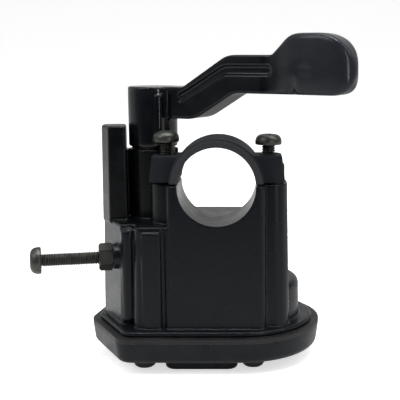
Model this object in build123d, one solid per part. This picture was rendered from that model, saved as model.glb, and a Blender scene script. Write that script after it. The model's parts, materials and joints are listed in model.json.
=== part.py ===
from build123d import *
import os
from math import cos, pi, radians, tan

# Handlebar thumb control, standing on its cover. Millimetres.
# Origin: middle of the handlebar clamp bore. +X right, +Y away along the bar, +Z up.

# ---- driving dimensions -------------------------------------------------------------
BAR_R = 11.1                 # seat for a 22.2 mm handlebar
CLAMP_LENGTH = 18.0
RING_WALL = 2.4
SPLIT_Z = 0.3                # top of the housing's half of the clamp
SPLIT_GAP = 0.5
DRAFT = 1.0                  # casting draft, degrees
COLUMN_DRAFT = 0.3           # the clamp column is nearly straight
PANEL_LEFT = -21.2           # raised panel on the front of the left body
GROOVE_LEFT = -15.9          # shallow groove between that panel and the clamp column
GROOVE_RIGHT = -14.5
WALL = 2.2                   # casting wall

FLANGE_BOTTOM = -42.5
FLANGE_TOP = -41.0
SHELF_Z = -11.4              # flat top of the left and rear body
CHAMBER_TOP = -29.6          # low chamber at the right
GASKET_THICK = 1.2
COVER_BOTTOM = -50.0
COVER_HEADS_Z = COVER_BOTTOM - 0.5     # seats of the cover screws' heads
COVER_TAPER = 0.8            # the cover's side leans in this much towards its bottom
RIM_OUT = 2.2                # gasket and cover stand this far outside the flange
PAD_BOTTOM = -53.3

HUB_X = -19.6                # lever pivot axis
HUB_Y = 11.0
HUB_R = 7.3
HUB_BOTTOM = 9.7
HUB_TOP = 27.4
BOSS_R = 7.4
BOSS_TOP = 9.1
BOSS_BOTTOM = -14.0
LEVER_ANGLE = -30.0          # direction of the lever arm at rest, degrees from +X
LEVER_RIB_ANGLE = -70.0      # direction of the small rib on the hub

# spindle stack, from the top down
SPINDLE_R = 3.0
SPINDLE_END_R = 2.5
RUNNING = 0.03               # radial running clearance of the spindle
SPINDLE_TOP = HUB_TOP - 2.1
BUSH_R = 4.5
BUSH_LENGTH = 8.0
BUSH_BOSS_R = 6.4
SEAL_SEAT_R = 5.2
SEAL_DEEP = 2.0
WASHER_R = 6.4
ARM_HUB_R = 5.6
PULL_ARM_TOP = -14.3
PULL_ARM_BOTTOM = -17.0
PULL_ARM_REACH = 15.0
STOP_ARM_TOP = -19.2
STOP_ARM_BOTTOM = -23.0
STOP_ARM_REACH = 12.7
SPACER_R = 4.4
SPACER_BOTTOM = -31.8
WASHER_BOTTOM = -33.0
NUT_BOTTOM = -37.2
SHAFT_NUT_FLATS = 8.0
SPINDLE_BOTTOM = -38.4
COIL_R = 5.6
COIL_TOP = -24.1
COIL_PITCH = 1.15
COIL_WIRE_R = 0.6
COIL_TURNS = 5
SPRING_PIN_AT = (-20.5, 20.4)
SPRING_PIN_R = 1.25
SPRING_PIN_BOTTOM = -29.0
PIN_BOSS_R = 2.6

INLET_X = -5.5               # cable inlet, in the rear wall
INLET_Z = -19.5
INLET_R = 4.0
INLET_BOSS_R = 5.0
CABLE_R = 2.6

CLAMP_SCREW_X = 14.7
CLAMP_SCREW_LENGTH = 20.0
M4_R = 2.0
M4_HEAD_R = 3.8
M4_HEAD_H = 3.0
M3_R = 1.5
SCREW_FIT = 0.06             # radial clearance of a thread hole over its screw
SCREW_BOSS = 9.5
EAR_TOP = 8.4
EAR_REACH = 19.5
EAR_HALF = 6.2
EAR_POST_R = 4.7             # round post under the left ear
SCREW_LIFT = 2.8             # thread showing under the right-hand clamp screw head
LEFT_EXTRA_LIFT = 0.8

LIMITER_AT = (-30.6, -2.15, -21.3)    # middle of the lock nut's inner face
LIMITER_ANGLE = 192.0                # the screw points out this way, degrees from +X
LIMITER_LENGTH = 25.0
LIMITER_COLLAR_R = 3.7
LIMITER_SHOWN = 20.2                 # from the nut's inner face to the head
NUT_THICK = 4.0
NUT_FLATS = 7.0

COVER_SCREWS = [(-21.2, -6.8), (10.3, -6.2), (19.4, 19.4), (-27.5, 22.5)]
COVER_BOSS_R = [2.7, 2.7, 3.2, 3.2]
COVER_PILLAR_R = 3.6         # round each screw, in the cover and in the gasket
COVER_FLOOR = 2.0

# plan outlines as (x, y, corner radius)
FLANGE_PLAN = [(-26.2, -12.7, 3.5), (28.0, -12.7, 21.4), (28.0, 30.3, 21.4), (-28.0, 30.3, 6.0),
               (-34.6, 18.0, 8.0), (-36.6, 7.0, 4.5)]
BODY_PLAN = [(-28.0, -5.0, 1.0), (-24.0, -5.0, 0.0), (-24.0, -9.7, 2.4), (-13.0, -9.7, 0.0),
             (-13.0, -6.0, 0.0), (12.0, -6.0, 0.0), (12.0, 26.2, 4.0),
             (-29.0, 26.2, 4.0), (-33.2, 18.5, 4.0), (-35.4, 9.3, 2.0)]
COLUMN_PLAN = [(-14.3, -9.7, 1.4), (13.9, -9.7, 1.4), (13.9, 9.6, 0.5), (-14.3, 9.6, 0.5)]
RIGHT_POST_PLAN = [(12.0, -7.2, 0.0), (20.8, -7.2, 4.2), (20.8, 8.2, 4.2), (12.0, 8.2, 0.0)]
CHAMBER_PLAN = [(4.0, -9.2, 0.0), (24.1, -9.2, 17.3), (24.1, 26.4, 17.3), (4.0, 26.4, 0.0)]
GUARD_PLAN = [(-31.9, 2.5, 0.9), (-26.3, 2.5, 0.7), (-27.3, 8.0, 0.0), (-27.3, 12.5, 1.0),
              (-34.6, 12.5, 1.5), (-35.0, 8.6, 2.0)]
GUARD_TOP = 16.2

parts = {}


# ---- helpers ------------------------------------------------------------------------
def outline(points):
    """Closed face from (x, y, corner radius) points."""
    corners = [(x, y) for x, y, r in points]
    rounds = [r for x, y, r in points]
    return make_face(FilletPolyline(*corners, radius=rounds, close=True))


def inset(points, amount):
    """The same outline with every side moved inwards; corner radii stay."""
    count = len(points)
    area = sum(points[i - 1][0] * points[i][1] - points[i][0] * points[i - 1][1]
               for i in range(count))
    inwards = amount if area > 0 else -amount
    moved = []
    for i, (x, y, r) in enumerate(points):
        x0, y0, _ = points[i - 1]
        x1, y1, _ = points[(i + 1) % count]
        before = (Vector(x, y) - Vector(x0, y0)).normalized()
        after = (Vector(x1, y1) - Vector(x, y)).normalized()
        n0 = Vector(-before.Y, before.X)
        n1 = Vector(-after.Y, after.X)
        reach = inwards / (1 + n0.dot(n1))
        moved.append((x + (n0.X + n1.X) * reach, y + (n0.Y + n1.Y) * reach, r))
    return moved


def prism(points, low, high, taper=0.0):
    """Prism on a rounded outline between two heights, drafted inwards going up."""
    base = Plane.XY.offset(low) * outline(points)
    if taper == 0.0:
        return extrude(base, amount=high - low)
    shrink = (high - low) * tan(radians(taper))
    top = Plane.XY.offset(high) * outline(inset(points, shrink))
    return loft([base, top], ruled=True)


def grown(points, amount):
    """Outline of the same plan, offset sideways."""
    return offset(outline(points), amount=amount)


def slab(face, low, high):
    """Prism on a given face between two heights."""
    return extrude(Plane.XY.offset(low) * face, amount=high - low)


def rod(radius, low, high, x=0.0, y=0.0):
    """Upright cylinder between two heights."""
    return Pos(x, y, (low + high) / 2) * Cylinder(radius, high - low)


def bar(radius, start, end):
    """Cylinder along Y between two values of y, on the bore axis."""
    return Pos(0, (start + end) / 2, 0) * Rot(90, 0, 0) * Cylinder(radius, end - start)


def box(low, high):
    """Box from its lowest and highest corners."""
    size = [b - a for a, b in zip(low, high)]
    middle = [(a + b) / 2 for a, b in zip(low, high)]
    return Pos(*middle) * Box(*size)


def single(shape):
    """The one solid of a finished sub-part."""
    solids = shape.solids()
    return solids[0] if len(solids) == 1 else max(solids, key=lambda s: s.volume)


def at_hub(shape, angle=0.0):
    """Place a shape drawn round the Z axis on the lever pivot, turned about it."""
    return Pos(HUB_X, HUB_Y, 0) * Rot(0, 0, angle) * shape


def hexagon(flats, low, high):
    """Hexagonal prism on the Z axis, with chamfered corners."""
    body = extrude(Plane.XY.offset(low) * RegularPolygon(flats / 2, 6, major_radius=False),
                   amount=high - low)
    across_corners = flats / cos(pi / 6)
    turned = rod(across_corners / 2, low, high)
    turned = chamfer(turned.edges(), 0.5)
    return body & turned


def pan_screw(length, head_r=M4_HEAD_R, head_h=M4_HEAD_H, shank_r=M4_R):
    """Pan-head cross-recess screw: head above z = 0, plain shank of thread size below."""
    head = rod(head_r, 0, head_h)
    head = fillet(head.edges().group_by(Axis.Z)[-1], head_h * 0.55)
    shank = chamfer(rod(shank_r, -length, 0.2).edges().group_by(Axis.Z)[0], 0.4)
    recess = Pos(0, 0, head_h - 0.65) * (Box(head_r * 1.15, 0.8, 1.6) + Box(0.8, head_r * 1.15, 1.6))
    recess = recess & Pos(0, 0, head_h - 1.6) * Cone(0.3, head_r * 0.7, 3.4)
    return single(head + shank - recess)


# ---- housing ------------------------------------------------------------------------
def housing_outside():
    """Drafted outer blocks of the casting, joined."""
    shape = prism(FLANGE_PLAN, FLANGE_BOTTOM, FLANGE_TOP)
    shape = fillet(shape.edges().group_by(Axis.Z)[-1], 0.6)
    body = prism(BODY_PLAN, FLANGE_TOP, SHELF_Z, DRAFT)
    body = fillet(body.edges().group_by(Axis.Z)[-1], 0.7)
    shape += body
    shape += prism(COLUMN_PLAN, FLANGE_TOP, SPLIT_Z, COLUMN_DRAFT)
    panel = box((PANEL_LEFT, -10.0, FLANGE_TOP), (GROOVE_LEFT, -8.0, SHELF_Z - 1.5))
    shape += fillet(panel.faces().sort_by(Axis.Y)[0].edges(), 0.3)
    shape -= box((GROOVE_LEFT, -12.0, FLANGE_TOP), (GROOVE_RIGHT, -8.8, SHELF_Z + 0.1))
    shape += prism(RIGHT_POST_PLAN, FLANGE_TOP, SPLIT_Z, DRAFT)
    chamber = prism(CHAMBER_PLAN, FLANGE_TOP, CHAMBER_TOP, DRAFT)
    shape += fillet(chamber.edges().group_by(Axis.Z)[-1], 2.0)
    shape += rod(EAR_POST_R, SHELF_Z - 1, SPLIT_Z, -CLAMP_SCREW_X)
    shape += box((-14.0, -4.5, SHELF_Z - 1), (-10.0, 8.5, SPLIT_Z))
    return shape


def front_rib():
    """Half-round pilaster with a domed top at the front of the left flank."""
    radius = 2.3
    top = SHELF_Z - 1.0
    rib = rod(radius, FLANGE_TOP + 0.4, top, -25.6, -3.9)
    return fillet(rib.edges(), radius * 0.7)


def guard_and_boss():
    """Upright guard wall beside the lever hub, and the fixed pivot boss."""
    guard = prism(GUARD_PLAN, SHELF_Z - 1, GUARD_TOP, 0.6)
    guard = fillet(guard.edges().group_by(Axis.Z)[-1], 0.8)
    boss = rod(BOSS_R, BOSS_BOTTOM, BOSS_TOP, HUB_X, HUB_Y)
    boss = fillet(boss.edges().group_by(Axis.Z)[-1], 0.4)
    web = box((-28.0, 8.5, SHELF_Z - 1), (-20.0, 16.0, BOSS_TOP - 0.5))
    return guard + boss + web


def along_limiter(shape):
    """Place a shape drawn on +Z so that +Z runs outwards along the limiter screw."""
    return Pos(*LIMITER_AT) * Rot(0, 0, LIMITER_ANGLE) * Rot(0, 90, 0) * shape


def housing_inside():
    """Hollow of the casting: main cavity, low chamber and flange mouth."""
    main = [(-25.5, -1.5, 1.0), (-22.0, -7.2, 1.0), (-17.5, -7.2, 0.5), (-15.5, -4.6, 0.5),
            (-12.0, -4.6, 0.5), (-11.6, -7.2, 1.0), (11.4, -7.2, 1.0), (11.4, 23.6, 3.0),
            (-27.0, 23.6, 4.0), (-31.0, 17.5, 3.0), (-32.9, 9.3, 2.5)]
    low = [(5.0, -6.8, 0.5), (21.8, -6.8, 14.8), (21.8, 24.0, 14.8), (5.0, 24.0, 0.5)]
    hollow = prism(main, FLANGE_BOTTOM - 1, SHELF_Z - WALL, DRAFT)
    hollow += prism(low, FLANGE_BOTTOM - 1, CHAMBER_TOP - WALL, DRAFT)
    return hollow


def inner_bosses():
    """Cast-in bosses that stand in the hollow."""
    shape = rod(BUSH_BOSS_R, BOSS_BOTTOM, SHELF_Z - 1, HUB_X, HUB_Y)
    for (x, y), radius in zip(COVER_SCREWS, COVER_BOSS_R):
        shape += rod(radius, FLANGE_BOTTOM, FLANGE_BOTTOM + SCREW_BOSS, x, y)
    shape += rod(EAR_POST_R - 0.4, SHELF_Z - 2.8, SHELF_Z, -CLAMP_SCREW_X)
    shape += rod(PIN_BOSS_R, -20.0, SHELF_Z - 1, *SPRING_PIN_AT)
    shape += at_inlet(INLET_BOSS_R, 22.0, 28.0)
    return shape


def housing_bores():
    """Everything drilled or bored in the casting."""
    shape = bar(BAR_R, -20, 40)
    shape += box((-13.0, -10.0, SPLIT_Z), (13.0, 10.0, SPLIT_Z + 80))
    shape += at_hub(rod(BUSH_R, BOSS_BOTTOM - 1, BOSS_TOP + 1))
    shape += at_hub(rod(SEAL_SEAT_R, BOSS_TOP - SEAL_DEEP, BOSS_TOP + 1))
    for side in (-1, 1):
        shape += rod(M4_R + SCREW_FIT, -12.6, SPLIT_Z + 1, side * CLAMP_SCREW_X)
    for x, y in COVER_SCREWS:
        shape += rod(M3_R + SCREW_FIT, FLANGE_BOTTOM - 1, FLANGE_BOTTOM + SCREW_BOSS - 1.2, x, y)
    shape += rod(SPRING_PIN_R, -25.0, SHELF_Z - WALL - 1, *SPRING_PIN_AT)
    shape += along_limiter(rod(M4_R + SCREW_FIT, -13, 7))
    shape += at_inlet(INLET_R, 20, 32)
    return shape


def housing():
    """The main casting, hollow and drilled."""
    shape = housing_outside() + front_rib() + guard_and_boss()
    shape += along_limiter(rod(LIMITER_COLLAR_R, -8, 0))
    shape -= housing_inside()
    shape += inner_bosses()
    shape -= housing_bores()
    return single(shape)


# ---- cable inlet --------------------------------------------------------------------
def at_inlet(radius, start, end):
    """Cylinder along Y on the cable inlet's axis."""
    return Pos(INLET_X, (start + end) / 2, INLET_Z) * Rot(90, 0, 0) * Cylinder(radius, end - start)


def cable_inlet_sleeve():
    """Flanged sleeve pressed in the rear wall, where the control cable enters."""
    sleeve = at_inlet(INLET_R, 22, 28)
    collar = at_inlet(INLET_BOSS_R - 0.1, 28, 30)
    collar = fillet(collar.edges().group_by(Axis.Y)[-1], 0.5)
    return single(sleeve + collar - at_inlet(CABLE_R, 20, 32))


# ---- clamp cap and screws -----------------------------------------------------------
def clamp_cap():
    """Upper half ring with two ears for the clamp screws."""
    low = SPLIT_Z + SPLIT_GAP
    ring = bar(BAR_R + RING_WALL, -CLAMP_LENGTH / 2, CLAMP_LENGTH / 2)
    shape = fillet(ring.edges(), 0.9)
    for side in (-1, 1):
        plan = [(side * 7.0, -EAR_HALF, 0.0), (side * EAR_REACH, -EAR_HALF, 2.6),
                (side * EAR_REACH, EAR_HALF, 2.6), (side * 7.0, EAR_HALF, 0.0)]
        ear = prism(plan, low, EAR_TOP, 7.0)
        shape += fillet(ear.edges().group_by(Axis.Z)[-1], 0.6)
    knob = rod(1.5, low, EAR_TOP - 2.4, 17.9, 0.6)
    shape += fillet(knob.edges().group_by(Axis.Z)[-1], 1.0)
    shape -= bar(BAR_R, -30, 30)
    shape -= box((-40, -20, -40), (40, 20, low))
    for side in (-1, 1):
        shape -= rod(M4_R + 0.25, 0, 40, side * CLAMP_SCREW_X)
    shape -= rod(BOSS_R + 0.9, 0, 40, HUB_X, HUB_Y)
    return single(shape)


def clamp_screw(side):
    """One of the two screws that draw the cap down."""
    extra = LEFT_EXTRA_LIFT if side < 0 else 0.0
    return Pos(side * CLAMP_SCREW_X, 0, EAR_TOP + SCREW_LIFT + extra) * pan_screw(CLAMP_SCREW_LENGTH)


# ---- lever and what turns with it ---------------------------------------------------
def lever_arm():
    """Cranked arm and paddle: side profile crossed with plan profile."""
    side = [(0.0, 18.2, 0.0), (16.0, 18.2, 10.0), (29.2, 26.0, 6.0), (65.6, 26.0, 5.6),
            (65.6, 42.4, 10.0), (47.2, 42.4, 6.0), (41.2, 36.6, 1.2), (27.2, 36.6, 8.0),
            (12.0, 27.4, 1.0), (0.0, 27.4, 0.0)]
    plan = [(0.0, -2.2, 0.0), (40.0, -2.2, 9.0), (47.5, -4.0, 9.0), (65.6, -4.0, 4.1),
            (65.6, 4.4, 4.1), (44.0, 4.6, 10.0), (30.0, 7.3, 10.0), (0.0, 7.2, 0.0)]
    profile = extrude(Plane.XZ.offset(-10) * outline(side), amount=20)
    footprint = slab(outline(plan), 15, 47)
    return profile & footprint


def thumb_lever():
    """Hub, cranked arm and paddle in one casting."""
    hub = rod(HUB_R, HUB_BOTTOM, HUB_TOP)
    hub = fillet(hub.edges(), 0.5)
    shape = hub + lever_arm()
    channel = [(10.6, 22.8, 0.8), (13.6, 24.6, 6.0), (26.0, 31.1, 6.0), (41.0, 31.2, 1.0),
               (41.0, 33.7, 1.0), (26.0, 33.6, 6.0), (14.2, 27.0, 5.0), (10.6, 25.2, 0.8)]
    shape -= extrude(Plane.XZ.offset(1.3) * outline(channel), amount=4)
    rib = rod(1.6, HUB_BOTTOM + 0.6, 25.4, 6.5)
    rib = fillet(rib.edges().group_by(Axis.Z)[-1], 0.8)
    shape += Rot(0, 0, LEVER_RIB_ANGLE - LEVER_ANGLE) * rib
    shape -= rod(SPINDLE_R, HUB_BOTTOM - 1, SPINDLE_TOP)
    return single(at_hub(shape, LEVER_ANGLE))


def lever_shaft():
    """Steel spindle cast into the hub, with a threaded lower end."""
    shaft = rod(SPINDLE_R, WASHER_BOTTOM, SPINDLE_TOP)
    shaft += rod(SPINDLE_END_R, SPINDLE_BOTTOM, WASHER_BOTTOM)
    shaft = chamfer(shaft.edges().group_by(Axis.Z)[0], 0.5)
    return single(at_hub(shaft))


def tube(outer, inner, low, high):
    """Plain ring round the Z axis."""
    return rod(outer, low, high) - rod(inner, low - 1, high + 1)


def bush(low, high):
    """Plain bearing bush pressed in the boss."""
    return single(at_hub(tube(BUSH_R, SPINDLE_R + RUNNING, low, high)))


def dust_seal():
    """Lip ring in the mouth of the boss, round the spindle."""
    return single(at_hub(tube(SEAL_SEAT_R, SPINDLE_R + RUNNING, BOSS_TOP - SEAL_DEEP, BOSS_TOP - 0.2)))


def hub_washer():
    """Thin thrust washer that the hub turns on."""
    return single(at_hub(tube(WASHER_R, SPINDLE_R, BOSS_TOP + 0.1, HUB_BOTTOM)))


def arm_plate(reach, half_width, low, high):
    """Flat arm with a round hub and a round end, along +X."""
    rounds = [Circle(ARM_HUB_R).edge(), (Pos(reach, 0) * Circle(half_width)).edge()]
    return slab(make_hull(rounds), low, high)


def pull_arm():
    """Arm that pulls the control cable, with the nipple slot at its end."""
    arm = arm_plate(PULL_ARM_REACH, 3.2, PULL_ARM_BOTTOM, PULL_ARM_TOP)
    arm -= rod(SPINDLE_R, -20, -10)
    seat = PULL_ARM_BOTTOM + 0.8
    arm -= rod(2.2, seat, -10, PULL_ARM_REACH)
    arm -= box((PULL_ARM_REACH - 0.8, 0, seat), (PULL_ARM_REACH + 0.8, 5, -10))
    return single(at_hub(arm, 25.0))


def stop_arm():
    """Arm whose edge meets the limiter screw at full travel."""
    arm = arm_plate(STOP_ARM_REACH, 2.6, STOP_ARM_BOTTOM, STOP_ARM_TOP)
    arm += rod(ARM_HUB_R, STOP_ARM_TOP, PULL_ARM_BOTTOM)
    arm -= rod(SPINDLE_R, -30, -10)
    return single(at_hub(arm, -47.0))


def arm_spacer():
    """Sleeve that the return spring is wound round."""
    return single(at_hub(tube(SPACER_R, SPINDLE_R, SPACER_BOTTOM, STOP_ARM_BOTTOM)))


def shaft_washer():
    """Washer under the spindle nut."""
    return single(at_hub(tube(WASHER_R, SPINDLE_R, WASHER_BOTTOM, SPACER_BOTTOM)))


def shaft_nut():
    """Nut that holds the stack on the spindle."""
    nut = hexagon(SHAFT_NUT_FLATS, NUT_BOTTOM, WASHER_BOTTOM) - rod(SPINDLE_END_R, -40, -30)
    return single(at_hub(nut, 10.0))


def return_spring():
    """Torsion spring round the spacer, simplified to closed rings joined by a tie."""
    coil_bottom = COIL_TOP - (COIL_TURNS - 1) * COIL_PITCH
    coil = rod(0.45, coil_bottom, COIL_TOP, COIL_R)
    for turn in range(COIL_TURNS):
        coil += Pos(0, 0, COIL_TOP - turn * COIL_PITCH) * Torus(COIL_R, COIL_WIRE_R)
    return single(at_hub(coil, 60.0))


def spring_anchor_pin():
    """Dowel that holds the fixed leg of the spring."""
    return single(rod(SPRING_PIN_R, SPRING_PIN_BOTTOM, SHELF_Z - WALL - 1.2, *SPRING_PIN_AT))


# ---- limiter screw ------------------------------------------------------------------
def limiter_screw():
    """Set screw that limits the lever's travel."""
    screw = pan_screw(LIMITER_LENGTH, M4_HEAD_R + 0.1, 3.2)
    return single(along_limiter(Pos(0, 0, LIMITER_SHOWN) * screw))


def limiter_lock_nut():
    """Hexagon nut on the limiter screw."""
    nut = hexagon(NUT_FLATS, 0, NUT_THICK) - rod(M4_R + 0.04, -1, 5)
    return single(along_limiter(Rot(0, 0, 11) * nut))


# ---- base ---------------------------------------------------------------------------
def cover_gasket():
    """Flat rubber gasket between the flange and the cover."""
    top = FLANGE_BOTTOM
    low = top - GASKET_THICK
    shape = slab(grown(FLANGE_PLAN, RIM_OUT), low, top)
    shape -= slab(grown(FLANGE_PLAN, -5.2), low - 1, top + 1)
    for x, y in COVER_SCREWS:
        shape += rod(COVER_PILLAR_R, low, top, x, y)
        shape -= rod(M3_R + 0.4, low - 1, top + 1, x, y)
    return single(shape)


def cover():
    """Shallow pan with screw bosses and a raised pad underneath."""
    top = FLANGE_BOTTOM - GASKET_THICK
    rim = Plane.XY.offset(top) * grown(FLANGE_PLAN, RIM_OUT)
    foot = Plane.XY.offset(COVER_BOTTOM) * grown(FLANGE_PLAN, RIM_OUT - COVER_TAPER)
    shape = loft([foot, rim], ruled=True)
    shape = fillet(shape.edges().group_by(Axis.Z)[0], 2.2)
    pad = [(-15.2, -9.6, 3.0), (5.8, -9.6, 3.0), (5.8, 19.0, 5.0), (-15.2, 19.0, 5.0)]
    raised = prism(pad, PAD_BOTTOM, COVER_BOTTOM + 1)
    raised = fillet(raised.edges().group_by(Axis.Z)[0], 1.0)
    shape += raised
    shape -= slab(grown(FLANGE_PLAN, -1.2), COVER_BOTTOM + COVER_FLOOR, top + 1)
    for x, y in COVER_SCREWS:
        shape += rod(COVER_PILLAR_R, COVER_HEADS_Z, top, x, y)
        shape -= rod(M3_R + 0.2, -60, top + 1, x, y)
    return single(shape)


def cover_screws():
    """Four identical pan-head screws."""
    screws = []
    for x, y in COVER_SCREWS:
        screw = Pos(x, y, COVER_HEADS_Z) * Rot(180, 0, 0) * pan_screw(14.0, 3.3, 2.5, M3_R)
        screws.append(single(screw))
    return Compound(children=screws)


# ---- write --------------------------------------------------------------------------
parts["housing"] = housing()
parts["clamp_cap"] = clamp_cap()
parts["clamp_screw_left"] = single(clamp_screw(-1))
parts["clamp_screw_right"] = single(clamp_screw(1))
parts["thumb_lever"] = thumb_lever()
parts["lever_shaft"] = lever_shaft()
parts["hub_washer"] = hub_washer()
parts["dust_seal"] = dust_seal()
parts["upper_bush"] = bush(BOSS_TOP - SEAL_DEEP - BUSH_LENGTH, BOSS_TOP - SEAL_DEEP)
parts["lower_bush"] = bush(BOSS_BOTTOM, BOSS_BOTTOM + BUSH_LENGTH)
parts["pull_arm"] = pull_arm()
parts["stop_arm"] = stop_arm()
parts["arm_spacer"] = arm_spacer()
parts["shaft_washer"] = shaft_washer()
parts["shaft_nut"] = shaft_nut()
parts["return_spring"] = return_spring()
parts["spring_anchor_pin"] = spring_anchor_pin()
parts["cable_inlet_sleeve"] = cable_inlet_sleeve()
parts["limiter_screw"] = limiter_screw()
parts["limiter_lock_nut"] = limiter_lock_nut()
parts["cover_gasket"] = cover_gasket()
parts["cover"] = cover()
parts["cover_screws"] = cover_screws()

os.makedirs("parts", exist_ok=True)
for node, shape in parts.items():
    export_step(shape, f"parts/{node}.step")
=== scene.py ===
import json
import math

import bpy
import numpy as np
from mathutils import Matrix, Vector


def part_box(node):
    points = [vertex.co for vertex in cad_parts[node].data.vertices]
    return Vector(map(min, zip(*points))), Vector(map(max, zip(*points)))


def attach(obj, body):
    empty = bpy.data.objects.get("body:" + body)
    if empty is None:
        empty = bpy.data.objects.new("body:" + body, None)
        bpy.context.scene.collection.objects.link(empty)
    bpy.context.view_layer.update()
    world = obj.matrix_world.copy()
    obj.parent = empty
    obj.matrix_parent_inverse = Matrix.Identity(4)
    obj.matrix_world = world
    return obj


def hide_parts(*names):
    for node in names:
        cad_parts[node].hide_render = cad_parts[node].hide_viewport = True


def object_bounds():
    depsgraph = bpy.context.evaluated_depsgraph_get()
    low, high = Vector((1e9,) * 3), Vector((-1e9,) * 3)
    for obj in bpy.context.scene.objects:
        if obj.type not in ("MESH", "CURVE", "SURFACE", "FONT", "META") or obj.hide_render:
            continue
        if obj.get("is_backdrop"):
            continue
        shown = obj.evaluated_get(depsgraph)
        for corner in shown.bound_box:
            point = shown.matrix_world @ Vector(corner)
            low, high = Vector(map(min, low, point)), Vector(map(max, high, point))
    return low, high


# Looks for the handlebar thumb control: painted castings, threaded screws, studio light.
# Metres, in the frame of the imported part: origin in the clamp bore, +Y along the bar, +Z up.

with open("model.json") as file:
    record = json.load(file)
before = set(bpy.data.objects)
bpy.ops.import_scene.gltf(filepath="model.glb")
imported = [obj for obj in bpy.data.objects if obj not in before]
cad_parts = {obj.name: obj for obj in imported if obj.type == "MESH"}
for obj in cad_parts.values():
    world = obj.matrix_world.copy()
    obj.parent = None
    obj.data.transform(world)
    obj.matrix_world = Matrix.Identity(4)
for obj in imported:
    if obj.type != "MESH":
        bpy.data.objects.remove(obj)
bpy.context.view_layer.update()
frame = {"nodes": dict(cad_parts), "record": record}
nodes = frame["nodes"]

MM = 0.001
CAMERA_AT = Vector((10.84, -249.11, 37.5)) * MM
CAMERA_TILT = math.radians(80.31)
CAMERA_LENS = 78.3
CAMERA_SHIFT = -0.1375
LIMITER_TURN = math.radians(192.0)
THREAD_PITCH_M4 = 0.7 * MM
THREAD_PITCH_M3 = 0.5 * MM
SHADE_ABOVE = -11.9 * MM     # painted shade: the guard wall and pivot boss keep the darker base colour
SHADE_LEFT_OF = -18.5 * MM
LEVER_TURN = math.radians(-30.0)
PADDLE_LONG = 19.0 * MM
PADDLE_TALL = 16.4 * MM
PADDLE_MIDDLE = 56.0 * MM    # from the pivot, along the lever
CREASE_AT = 47.5 * MM
DIMPLE_AT = 52.0 * MM
PADDLE_PASSES = 130
ARM_ROUNDING = 0.09          # share of the paddle's smoothing that the hub and arm get
CROWN = 0.8 * MM             # how far the paddle's front face falls back at its edges
FINE_VOXEL = 0.24 * MM
SKIN_VOXEL = FINE_VOXEL
HOUSING_VOXEL = SKIN_VOXEL * 1.1
HEAD_H_M4 = 3.0 * MM
LIMITER_HEAD_H = 3.2 * MM
COVER_HEAD_H = 2.5 * MM
SHANK_R_M4 = 1.97 * MM       # a shade under the thread hole, so that the flanks don't touch
SHANK_R_M3 = 1.48 * MM
SPRING_WIRE_R = 0.6 * MM
SPRING_TURNS = 4.3
RING_OUTER = 13.25 * MM      # the clamp ring's rubbed face ends here
EDGE_LIT = (0.80, 0.985)     # cosine between rounded and true normal: full, then no edge wear and painted highlight
BLOTCH = 7.0 * MM
EDGE_PATCH_SIZE = 1.6 * MM
SAME_SCREW = 8 * MM          # vertices closer than this in plan are one screw


# ---- materials ----------------------------------------------------------------------
def shader(name):
    """A new node material: its tree, its surface shader and its object coordinates."""
    material = bpy.data.materials.new(name)
    material.use_nodes = True
    tree = material.node_tree
    surface = tree.nodes["Principled BSDF"]
    place = tree.nodes.new("ShaderNodeTexCoord").outputs["Object"]
    return material, tree, surface, place


def noise(tree, place, size, detail=3.0):
    """Noise whose grain has about this size in metres."""
    node = tree.nodes.new("ShaderNodeTexNoise")
    node.inputs["Scale"].default_value = 1.0 / size
    node.inputs["Detail"].default_value = detail
    tree.links.new(place, node.inputs["Vector"])
    return node.outputs["Fac"]


def spread(tree, value, low, high, start=0.3, end=0.7):
    """The value's middle range stretched to run from low to high."""
    node = tree.nodes.new("ShaderNodeMapRange")
    node.inputs["From Min"].default_value = start
    node.inputs["From Max"].default_value = end
    node.inputs["To Min"].default_value = low
    node.inputs["To Max"].default_value = high
    tree.links.new(value, node.inputs["Value"])
    return node.outputs["Result"]


def times(tree, a, b):
    """Two values multiplied."""
    node = tree.nodes.new("ShaderNodeMath")
    node.operation = "MULTIPLY"
    tree.links.new(a, node.inputs[0])
    tree.links.new(b, node.inputs[1])
    return node.outputs["Value"]


def mixed(tree, amount, first, second):
    """Two colours mixed by a value; either colour may be plain or a socket."""
    node = tree.nodes.new("ShaderNodeMix")
    node.data_type = "RGBA"
    tree.links.new(amount, node.inputs["Factor"])
    for socket, colour in ((node.inputs[6], first), (node.inputs[7], second)):
        if isinstance(colour, tuple):
            socket.default_value = (*colour, 1.0)
        else:
            tree.links.new(colour, socket)
    return node.outputs[2]


def edge_mask(tree, radius):
    """How far the rounded normal leans away from the true one: high along edges."""
    bevel = tree.nodes.new("ShaderNodeBevel")
    bevel.samples = 4
    bevel.inputs["Radius"].default_value = radius
    true_normal = tree.nodes.new("ShaderNodeNewGeometry").outputs["Normal"]
    dot = tree.nodes.new("ShaderNodeVectorMath")
    dot.operation = "DOT_PRODUCT"
    tree.links.new(bevel.outputs["Normal"], dot.inputs[0])
    tree.links.new(true_normal, dot.inputs[1])
    return spread(tree, dot.outputs["Value"], 1.0, 0.0, *EDGE_LIT), bevel.outputs["Normal"]


def along_axis(tree, place, axis, start, end):
    """0 before start and 1 after end, along one axis of the part."""
    split = tree.nodes.new("ShaderNodeSeparateXYZ")
    tree.links.new(place, split.inputs["Vector"])
    return spread(tree, split.outputs[axis], 0.0, 1.0, start, end)


def body_tone_with_painted_shade(tree, place):
    """The body's paler paint tone everywhere but on the guard wall and the pivot boss, which stay
    darker as painted shade.
    """
    high = along_axis(tree, place, "Z", SHADE_ABOVE - 0.4 * MM, SHADE_ABOVE + 0.4 * MM)
    right = along_axis(tree, place, "X", SHADE_LEFT_OF - 0.4 * MM, SHADE_LEFT_OF + 0.4 * MM)
    shaded = times(tree, high, spread(tree, right, 1.0, 0.0, 0.0, 1.0))
    return spread(tree, shaded, 1.0, 0.0, 0.0, 1.0)


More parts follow.
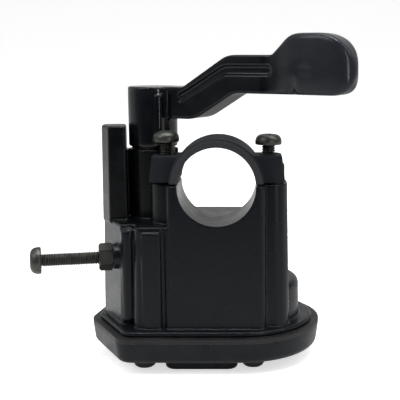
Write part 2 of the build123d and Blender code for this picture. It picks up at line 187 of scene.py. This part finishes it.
def paddle_painted_reflection(tree, place):
    """Painted reflection: only the paddle is painted paler, standing in for the brighter surround
    its glossy face reflects.
    """
    return along_axis(tree, place, "X", 14 * MM, 24 * MM)


def rubbed_ring(tree, place):
    """The ring's face round the bore, rubbed paler than the rest of the cap."""
    flat = tree.nodes.new("ShaderNodeVectorMath")
    flat.operation = "MULTIPLY"
    flat.inputs[1].default_value = (1.0, 0.0, 1.0)
    tree.links.new(place, flat.inputs[0])
    reach = tree.nodes.new("ShaderNodeVectorMath")
    reach.operation = "LENGTH"
    tree.links.new(flat.outputs["Vector"], reach.inputs[0])
    return spread(tree, reach.outputs["Value"], 1.0, 0.22, RING_OUTER - 0.35 * MM, RING_OUTER)


def finish_coat(name, colour, worn_and_lit_colour, rough, rough_swing, grain, grain_height, metal=0.0,
                spec=0.5, edge_wear_and_highlight=0.35, edge=0.35 * MM, tone_and_painted_light=None, tone_and_painted_light_mask=body_tone_with_painted_shade, dull=None):
    """Paint, plating or rubber: blotchy roughness, fine grain, edges paler with wear and painted
    highlight, and an overlay tone: a rubbed ring on the cap, painted shade left on the casting's
    guard and boss, a painted reflection on the lever paddle.
    """
    material, tree, surface, place = shader(name)
    link = tree.links.new
    blotch = noise(tree, place, BLOTCH, 4.0)
    fine = noise(tree, place, grain)
    edges, round_normal = edge_mask(tree, edge)
    # Paler edges: wear, and on the casting mostly a painted highlight along its rounded edges.
    edge_patch_amount = spread(tree, noise(tree, place, EDGE_PATCH_SIZE), 0.0, edge_wear_and_highlight, 0.42, 0.62)
    wear_and_highlight = times(tree, edges, edge_patch_amount)
    paler = tuple(min(1.0, c * 1.45 + 0.002) for c in colour)
    base = mixed(tree, spread(tree, blotch, 0.0, 1.0), colour, paler)
    if tone_and_painted_light is not None:
        tone_and_light_layer = times(tree, tone_and_painted_light_mask(tree, place), spread(tree, fine, 0.75, 1.15))
        base = mixed(tree, tone_and_light_layer, base, tone_and_painted_light)
    link(mixed(tree, wear_and_highlight, base, worn_and_lit_colour), surface.inputs["Base Color"])
    uneven = spread(tree, blotch, rough - rough_swing, rough + rough_swing)
    link(uneven, surface.inputs["Roughness"])
    bump = tree.nodes.new("ShaderNodeBump")
    bump.inputs["Strength"].default_value = 1.0
    bump.inputs["Distance"].default_value = grain_height
    link(fine, bump.inputs["Height"])
    link(round_normal, bump.inputs["Normal"])
    link(bump.outputs["Normal"], surface.inputs["Normal"])
    surface.inputs["Metallic"].default_value = metal
    surface.inputs["Specular IOR Level"].default_value = spec
    if dull is not None:
        shine = spread(tree, tone_and_painted_light_mask(tree, place), spec, dull, 0.0, 1.0)
        link(shine, surface.inputs["Specular IOR Level"])
    return material


# Casting: the overlay tone lifts the body and leaves the guard wall and pivot boss darker as painted
# shade.
casting = finish_coat("casting_paint", (0.0012, 0.0016, 0.0020), (0.17, 0.17, 0.175), 0.28, 0.06,
                      0.22 * MM, 0.006 * MM, spec=0.145, edge_wear_and_highlight=0.60, tone_and_painted_light=(0.0036, 0.0051, 0.0070))
cap_paint = finish_coat("cap_paint", (0.0050, 0.0064, 0.0085), (0.12, 0.12, 0.12), 0.50, 0.08,
                        0.34 * MM, 0.014 * MM, spec=0.015, edge_wear_and_highlight=0.40, tone_and_painted_light=(0.036, 0.037, 0.040),
                        tone_and_painted_light_mask=rubbed_ring)
# Lever: the overlay tone on the paddle is a painted reflection, and the paddle's shine is lowered
# there.
gloss = finish_coat("lever_gloss", (0.0022, 0.0030, 0.0042), (0.05, 0.05, 0.055), 0.15, 0.04,
                    0.8 * MM, 0.002 * MM, spec=0.24, edge_wear_and_highlight=0.08, tone_and_painted_light=(0.0170, 0.0190, 0.0235),
                    tone_and_painted_light_mask=paddle_painted_reflection, dull=0.16)
base_paint = finish_coat("cover_paint", (0.0042, 0.0050, 0.0062), (0.10, 0.10, 0.10), 0.34, 0.08,
                         0.25 * MM, 0.008 * MM, spec=0.13, edge_wear_and_highlight=0.35)
rubber = finish_coat("gasket_rubber", (0.0070, 0.0072, 0.0080), (0.05, 0.05, 0.05), 0.50, 0.08,
                     0.15 * MM, 0.010 * MM, spec=0.25, edge_wear_and_highlight=0.5)
screw_metal = finish_coat("screw_steel", (0.040, 0.042, 0.037), (0.22, 0.215, 0.19), 0.38, 0.12,
                          0.12 * MM, 0.004 * MM, metal=0.85, edge_wear_and_highlight=0.5, edge=0.15 * MM)
black_screw = finish_coat("black_screw", (0.012, 0.012, 0.012), (0.12, 0.12, 0.11), 0.40, 0.10,
                          0.12 * MM, 0.004 * MM, metal=0.6, edge_wear_and_highlight=0.4, edge=0.15 * MM)
bright_metal = finish_coat("bright_steel", (0.50, 0.50, 0.48), (0.75, 0.75, 0.72), 0.28, 0.08,
                           0.10 * MM, 0.003 * MM, metal=1.0, edge_wear_and_highlight=0.5, edge=0.15 * MM)
brass = finish_coat("bush_brass", (0.55, 0.40, 0.16), (0.75, 0.60, 0.32), 0.32, 0.08,
                    0.12 * MM, 0.003 * MM, metal=1.0, edge_wear_and_highlight=0.4, edge=0.15 * MM)
sleeve = finish_coat("sleeve_plastic", (0.012, 0.012, 0.013), (0.05, 0.05, 0.05), 0.5, 0.06,
                     0.2 * MM, 0.008 * MM, edge_wear_and_highlight=0.2, edge=0.2 * MM)
FINISH = {"casting_paint": casting, "lever_gloss": gloss, "cover_paint": base_paint,
          "gasket_rubber": rubber, "screw_steel": screw_metal, "bright_steel": bright_metal,
          "bush_brass": brass, "sleeve_plastic": sleeve}
SLOT_OF = {part["node"]: part["material_slot"] for part in frame["record"]["subparts"]}
for node, obj in nodes.items():
    obj.data.materials.clear()
    obj.data.materials.append(FINISH[SLOT_OF[node]])


# ---- mesh helpers -------------------------------------------------------------------
def add(name, mesh):
    """A mesh put in the scene as an object."""
    obj = bpy.data.objects.new(name, mesh)
    bpy.context.scene.collection.objects.link(obj)
    return obj


def stand_in(obj, node, body):
    """obj is shown in place of a CAD node, in that node's finish."""
    obj.data.materials.clear()
    obj.data.materials.append(FINISH[SLOT_OF[node]])
    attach(obj, body)
    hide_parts(node)
    return obj


def mesh_of(name, points, faces):
    """A smooth-shaded mesh from points and faces."""
    mesh = bpy.data.meshes.new(name)
    mesh.from_pydata([tuple(p) for p in points], [], faces)
    mesh.update()
    mesh.shade_smooth()
    return mesh


def baked(obj, name):
    """The object's mesh with its modifiers applied; the object itself is removed."""
    graph = bpy.context.evaluated_depsgraph_get()
    mesh = bpy.data.meshes.new_from_object(obj.evaluated_get(graph))
    mesh.name = name
    bpy.data.objects.remove(obj)
    return mesh


def cast_skin(node, body, voxel, passes, extra=None):
    """A casting with its edges rounded over, made from the CAD solid and kept in its box."""
    rough = add(node + "_rough", nodes[node].data.copy())
    skin = rough.modifiers.new("skin", "REMESH")
    skin.mode = "VOXEL"
    skin.voxel_size = voxel
    skin.use_smooth_shade = True
    relax = rough.modifiers.new("relax", "SMOOTH")
    relax.factor = 0.5
    relax.iterations = passes
    piece = add(node + "_skin", baked(rough, node + "_skin"))
    low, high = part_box(node)
    for v in piece.data.vertices:
        v.co = [min(max(c, a), b) for c, a, b in zip(v.co, low, high)]
    if extra is not None:
        extra(piece)
    piece.data.shade_smooth()
    return stand_in(piece, node, body)


def circle_point(axis, radius, angle, z):
    """A point on a level circle round the axis."""
    return Vector((axis.x + radius * math.cos(angle), axis.y + radius * math.sin(angle), z))


def swept(name, path, radius, sides=12):
    """Round wire along a path of points."""
    points, faces = [], []
    up = Vector((0, 0, 1))
    for i, here in enumerate(path):
        ahead = (path[min(i + 1, len(path) - 1)] - path[max(i - 1, 0)]).normalized()
        side = ahead.cross(up).normalized()
        over = side.cross(ahead)
        for k in range(sides):
            a = 2 * math.pi * k / sides
            points.append(here + (side * math.cos(a) + over * math.sin(a)) * radius)
    for i in range(len(path) - 1):
        for k in range(sides):
            a, b = i * sides + k, i * sides + (k + 1) % sides
            faces.append((a, b, b + sides, a + sides))
    faces.append(tuple(range(sides))[::-1])
    faces.append(tuple(range(len(points) - sides, len(points))))
    return mesh_of(name, points, faces)


# ---- screws -------------------------------------------------------------------------
def screw_mesh(name, length, radius, pitch, head_r, head_h, sides=48):
    """Pan-head screw pointing down from z = 0 under its head, with a helical thread."""
    head = [(0.30, 1.00), (0.55, 0.975), (0.74, 0.90), (0.88, 0.76), (0.965, 0.56), (1.0, 0.34),
            (1.0, 0.10), (0.97, 0.02), (0.90, 0.0)]
    depth = 0.61 * pitch
    step = pitch / 8
    count = int(length / step)
    points, faces = [Vector((0, 0, head_h))], []
    rings = [[(head_r * r, head_h * h)] * sides for r, h in head]
    rings.append([(radius * 1.02, 0.0)] * sides)
    for row in range(1, count + 1):
        z = -row * step
        ring = []
        for k in range(sides):
            phase = (z / pitch - k / sides) % 1.0
            crest = min(1.0, max(0.0, 1.25 - 2.5 * abs(phase - 0.5)))
            blend = min(1.0, row / 6, (count - row) / 10 + 0.15)
            ring.append((radius - depth * (1 - crest * blend), z))
        rings.append(ring)
    for ring in rings:
        for k, (r, z) in enumerate(ring):
            a = 2 * math.pi * k / sides
            points.append(Vector((r * math.cos(a), r * math.sin(a), z)))
    points.append(Vector((0, 0, -count * step)))
    for k in range(sides):
        faces.append((0, 1 + k, 1 + (k + 1) % sides))
    for row in range(len(rings) - 1):
        for k in range(sides):
            a, b = 1 + row * sides + k, 1 + row * sides + (k + 1) % sides
            faces.append((a, a + sides, b + sides, b))
    last = 1 + (len(rings) - 1) * sides
    for k in range(sides):
        faces.append((last + k, len(points) - 1, last + (k + 1) % sides))
    rough = add(name + "_rough", mesh_of(name, points, faces))
    recess = cross_recess(name + "_recess", head_r, head_h)
    cut = rough.modifiers.new("recess", "BOOLEAN")
    cut.operation = "DIFFERENCE"
    cut.solver = "EXACT"
    cut.object = recess
    mesh = baked(rough, name)
    bpy.data.objects.remove(recess)
    mesh.set_sharp_from_angle(angle=math.radians(38))
    return mesh


def cross_recess(name, head_r, head_h):
    """Tapered cross that cuts the driver recess."""
    top_reach, top_half = head_r * 0.56, head_r * 0.13
    low_reach, low_half = head_r * 0.22, head_r * 0.09
    depth = head_h * 0.62
    points, faces = [], []
    levels = ((head_h + 0.1 * MM, top_reach, top_half), (head_h - depth, low_reach, low_half))
    for z, reach, half in levels:
        for turn in range(4):
            a = turn * math.pi / 2
            for u, v in ((half, -half), (reach, -half), (reach, half)):
                x = u * math.cos(a) - v * math.sin(a)
                y = u * math.sin(a) + v * math.cos(a)
                points.append(Vector((x, y, z)))
    faces.append(tuple(range(12)))
    faces.append(tuple(range(12, 24))[::-1])
    for k in range(12):
        faces.append((k, k + 12, 12 + (k + 1) % 12, (k + 1) % 12))
    return add(name, mesh_of(name, points, faces))


def upright_screw(node, body):
    """A clamp screw, head up, in place of its CAD node."""
    low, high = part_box(node)
    middle = (low + high) / 2
    head_r = (high.x - low.x) / 2
    length = high.z - low.z - HEAD_H_M4
    name = node + "_threaded"
    mesh = screw_mesh(name, length, SHANK_R_M4, THREAD_PITCH_M4, head_r, HEAD_H_M4)
    seat = Matrix.Translation((middle.x, middle.y, high.z - HEAD_H_M4))
    mesh.transform(seat @ Matrix.Rotation(0.3, 4, "Z"))
    return stand_in(add(name, mesh), node, body)


def limiter_piece():
    """The limiter screw, lying along its outward direction."""
    outward = Vector((math.cos(LIMITER_TURN), math.sin(LIMITER_TURN), 0))
    corners = [v.co for v in nodes["limiter_screw"].data.vertices]
    far = max(outward.dot(c) for c in corners)
    near = min(outward.dot(c) for c in corners)
    low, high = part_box("limiter_screw")
    head_r, head_h = (high.z - low.z) / 2, LIMITER_HEAD_H
    mesh = screw_mesh("limiter_threaded", far - near - head_h, SHANK_R_M4, THREAD_PITCH_M4,
                      head_r, head_h)
    middle = (low + high) / 2
    seat = middle + outward * (far - head_h - outward.dot(middle))
    turn = Vector((0, 0, 1)).rotation_difference(outward).to_matrix().to_4x4()
    mesh.transform(Matrix.Translation(seat) @ turn @ Matrix.Rotation(0.5, 4, "Z"))
    return stand_in(add("limiter_threaded", mesh), "limiter_screw", "limiter")


def islands(node):
    """Middle and top of each separate solid of a node, seen from above."""
    found = []
    for v in nodes[node].data.vertices:
        for group in found:
            if (group[0] - v.co).xy.length < SAME_SCREW:
                group[1].append(v.co)
                break
        else:
            found.append((v.co.copy(), [v.co]))
    boxes = []
    for _, corners in found:
        xyz = np.array(corners)
        boxes.append((Vector(xyz.min(0)), Vector(xyz.max(0))))
    return boxes


def cover_screw_set():
    """The four cover screws, heads down, as one piece."""
    joined = []
    for i, (low, high) in enumerate(islands("cover_screws")):
        middle = (low + high) / 2
        length = high.z - low.z - COVER_HEAD_H
        mesh = screw_mesh(f"cover_screw_{i}", length, SHANK_R_M3, THREAD_PITCH_M3,
                          (high.x - low.x) / 2, COVER_HEAD_H, 32)
        mesh.transform(Matrix.Translation((middle.x, middle.y, low.z + COVER_HEAD_H))
                       @ Matrix.Rotation(math.pi, 4, "X") @ Matrix.Rotation(0.4 * i, 4, "Z"))
        joined.append(add(f"cover_screw_{i}", mesh))
    with bpy.context.temp_override(active_object=joined[0], selected_editable_objects=joined):
        bpy.ops.object.join()
    joined[0].name = "cover_screws_threaded"
    return stand_in(joined[0], "cover_screws", "body")


# ---- spring -------------------------------------------------------------------------
def coil_spring():
    """Torsion spring round the spacer, with a leg to the dowel."""
    low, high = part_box("return_spring")
    axis = (low + high) / 2
    wire = SPRING_WIRE_R
    coil_r = (high.x - low.x) / 2 - wire
    pin_low, pin_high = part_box("spring_anchor_pin")
    pin = (pin_low + pin_high) / 2
    to_pin = pin - axis
    reach = math.hypot(to_pin.x, to_pin.y)
    start = math.atan2(to_pin.y, to_pin.x) - math.acos(coil_r / reach)
    bottom = low.z + wire
    rise = (high.z - low.z - 2 * wire) / SPRING_TURNS
    path = []
    leg = Vector((pin.x, pin.y, bottom))
    first = circle_point(axis, coil_r, start, bottom)
    for i in range(6):
        path.append(leg.lerp(first, i / 6))
    steps = int(40 * SPRING_TURNS)
    for i in range(steps + 1):
        turn = SPRING_TURNS * i / steps
        path.append(circle_point(axis, coil_r, start - 2 * math.pi * turn, bottom + rise * turn))
    piece = add("return_spring_coil", swept("return_spring_coil", path, wire))
    return stand_in(piece, "return_spring", "body")


# ---- pieces -------------------------------------------------------------------------
def paddle_frame():
    """The lever's pivot, its direction along the arm and its direction out of the back."""
    low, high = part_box("lever_shaft")
    pivot = (low + high) / 2
    along = Vector((math.cos(LEVER_TURN), math.sin(LEVER_TURN), 0))
    return pivot, along, Vector((-along.y, along.x, 0))


def pillow_paddle(piece):
    """Rounded arm; on the paddle a crowned face, a thumb dimple and a crease at its lower corner."""
    pivot, along, back = paddle_frame()
    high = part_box("thumb_lever")[1]
    middle_z = high.z - PADDLE_TALL / 2
    low_z = middle_z - PADDLE_TALL / 2
    group = piece.vertex_groups.new(name="paddle")
    for v in piece.data.vertices:
        out = (v.co - pivot).dot(along)
        deep = (v.co - pivot).dot(back)
        weight = min(1.0, max(0.0, (out - 38 * MM) / (10 * MM)))
        group.add([v.index], max(weight, ARM_ROUNDING), "REPLACE")
        if weight <= 0:
            continue
        u = (out - PADDLE_MIDDLE) / (PADDLE_LONG / 2)
        w = (v.co.z - middle_z) / (PADDLE_TALL / 2)
        front = min(1.0, max(0.0, -deep / (3 * MM)))
        v.co += back * (weight * front * CROWN * (u * u + 0.8 * w * w))
        across = (out - CREASE_AT - 0.35 * (v.co.z - low_z)) / (0.7 * MM)
        rise = min(1.0, max(0.0, 1 - (v.co.z - low_z) / (5 * MM)))
        v.co += back * (front * rise * 1.8 * MM * math.exp(-across * across))
        sideways = (out - DIMPLE_AT) / (2.6 * MM)
        upwards = (v.co.z - middle_z + 1.6 * MM) / (1.0 * MM)
        dimple = sideways ** 2 + upwards ** 2
        v.co += back * (front * 0.45 * MM * math.exp(-dimple))
    relax = piece.modifiers.new("pillow", "SMOOTH")
    relax.factor = 0.5
    relax.iterations = int(PADDLE_PASSES * (FINE_VOXEL / SKIN_VOXEL) ** 2)
    relax.vertex_group = "paddle"


cast_skin("thumb_lever", "lever", SKIN_VOXEL, 5, pillow_paddle)
cast_skin("housing", "body", HOUSING_VOXEL, 2)
cap = cast_skin("clamp_cap", "cap", SKIN_VOXEL, 3)
cap.data.materials[0] = cap_paint
upright_screw("clamp_screw_left", "left_clamp_screw")
upright_screw("clamp_screw_right", "right_clamp_screw")
limiter_piece()
cover_screws = cover_screw_set()
cover_screws.data.materials[0] = black_screw
coil_spring()
nodes["hub_washer"].data.materials[0] = black_screw


# ---- studio -------------------------------------------------------------------------
def studio_floor():
    """Pale floor that curves up into a backdrop far behind; in reflections it is darker towards the
    front and has a painted shadow just behind the lever.
    """
    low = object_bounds()[0][2]
    front, far, side, top, curve = -1.2, 1.2, 2.4, 2.0, 0.6
    profile = [(front, 0.0)]
    for i in range(17):
        a = math.pi / 2 * i / 16
        profile.append((far + curve * math.sin(a), curve * (1 - math.cos(a))))
    profile.append((far + curve, top))
    points, faces = [], []
    for y, z in profile:
        points += [Vector((-side, y, low + z)), Vector((side, y, low + z))]
    for i in range(len(profile) - 1):
        faces.append((2 * i, 2 * i + 1, 2 * i + 3, 2 * i + 2))
    sheet = add("studio_floor", mesh_of("studio_floor", points, faces))
    material, tree, surface, place = shader("floor_white")
    surface.inputs["Roughness"].default_value = 0.9
    surface.inputs["Specular IOR Level"].default_value = 0.1
    tone = mixed(tree, noise(tree, place, 0.3), (0.80, 0.80, 0.80), (0.83, 0.83, 0.83))
    surface.inputs["Emission Color"].default_value = (1.0, 1.0, 1.0, 1.0)
    depth = tree.nodes.new("ShaderNodeSeparateXYZ")
    tree.links.new(place, depth.inputs["Vector"])
    seen = tree.nodes.new("ShaderNodeLightPath").outputs["Is Camera Ray"]
    dimmed = spread(tree, depth.outputs["Y"], 0.10, 1.0, -0.46, 0.06)
    # painted shadow: in reflections the floor just behind the lever is darker, standing in for the
    # shadow the lever casts there
    near = tree.nodes.new("ShaderNodeVectorMath")
    near.operation = "DISTANCE"
    near.inputs[1].default_value = (0.08, 0.20, low)
    tree.links.new(place, near.inputs[0])
    dimmed = times(tree, dimmed, spread(tree, near.outputs["Value"], 0.25, 1.0, 0.10, 0.22))
    tree.links.new(mixed(tree, seen, mixed(tree, dimmed, (0.0, 0.0, 0.0), (0.8, 0.8, 0.8)), tone),
                   surface.inputs["Base Color"])
    glow = mixed(tree, seen, spread(tree, dimmed, 0.0, 0.28, 0.1, 1.0), (0.62, 0.62, 0.62))
    tree.links.new(glow, surface.inputs["Emission Strength"])
    sheet.data.materials.append(material)
    sheet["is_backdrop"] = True


def softbox(name, at, aim, width, height, power):
    """A rectangular area light that points at a spot."""
    light = bpy.data.lights.new(name, "AREA")
    light.shape = "RECTANGLE"
    light.size = width
    light.size_y = height
    light.energy = power
    obj = bpy.data.objects.new(name, light)
    obj.location = at
    obj.rotation_euler = (Vector(aim) - Vector(at)).to_track_quat("-Z", "Y").to_euler()
    bpy.context.scene.collection.objects.link(obj)


def surround():
    """Studio surround: white to the camera; in reflections, bright behind and to the left."""
    world = bpy.data.worlds.new("studio")
    bpy.context.scene.world = world
    world.use_nodes = True
    tree = world.node_tree
    direction = tree.nodes.new("ShaderNodeTexCoord").outputs["Generated"]
    split = tree.nodes.new("ShaderNodeSeparateXYZ")
    tree.links.new(direction, split.inputs["Vector"])
    behind = spread(tree, split.outputs["Y"], 0.04, 1.0, -0.8, 0.1)
    leftward = spread(tree, split.outputs["X"], 1.0, 0.40, -0.2, 0.7)
    lit = mixed(tree, times(tree, behind, leftward), (0.0, 0.0, 0.0), (1.0, 1.0, 1.0))
    seen = tree.nodes.new("ShaderNodeLightPath").outputs["Is Camera Ray"]
    tone = mixed(tree, seen, lit, (1.0, 1.0, 1.0))
    back = tree.nodes["Background"]
    tree.links.new(tone, back.inputs["Color"])
    back.inputs["Strength"].default_value = 1.0


studio_floor()
surround()
softbox("key_left", (-0.42, -0.30, 0.42), (0, 0, 0), 0.30, 0.30, 1.35)
softbox("top_strip", (0.05, 0.05, 0.60), (0.02, 0, 0), 0.5, 0.25, 2.2)
softbox("right_strip", (0.45, -0.10, 0.40), (0.03, 0, 0.03), 0.06, 0.40, 1.0)
softbox("top_line", (0.05, -0.12, 0.55), (0.02, 0, 0.03), 0.5, 0.015, 2.2)
softbox("front_right_line", (0.26, -0.43, 0.05), (0.03, 0, 0.02), 0.03, 0.34, 0.6)

camera_data = bpy.data.cameras.new("camera")
camera_data.lens = CAMERA_LENS
camera_data.shift_x = CAMERA_SHIFT
camera = bpy.data.objects.new("camera", camera_data)
camera.location = CAMERA_AT
camera.rotation_euler = (CAMERA_TILT, 0, 0)
bpy.context.scene.collection.objects.link(camera)
bpy.context.scene.camera = camera
bpy.context.scene.view_settings.view_transform = "Standard"
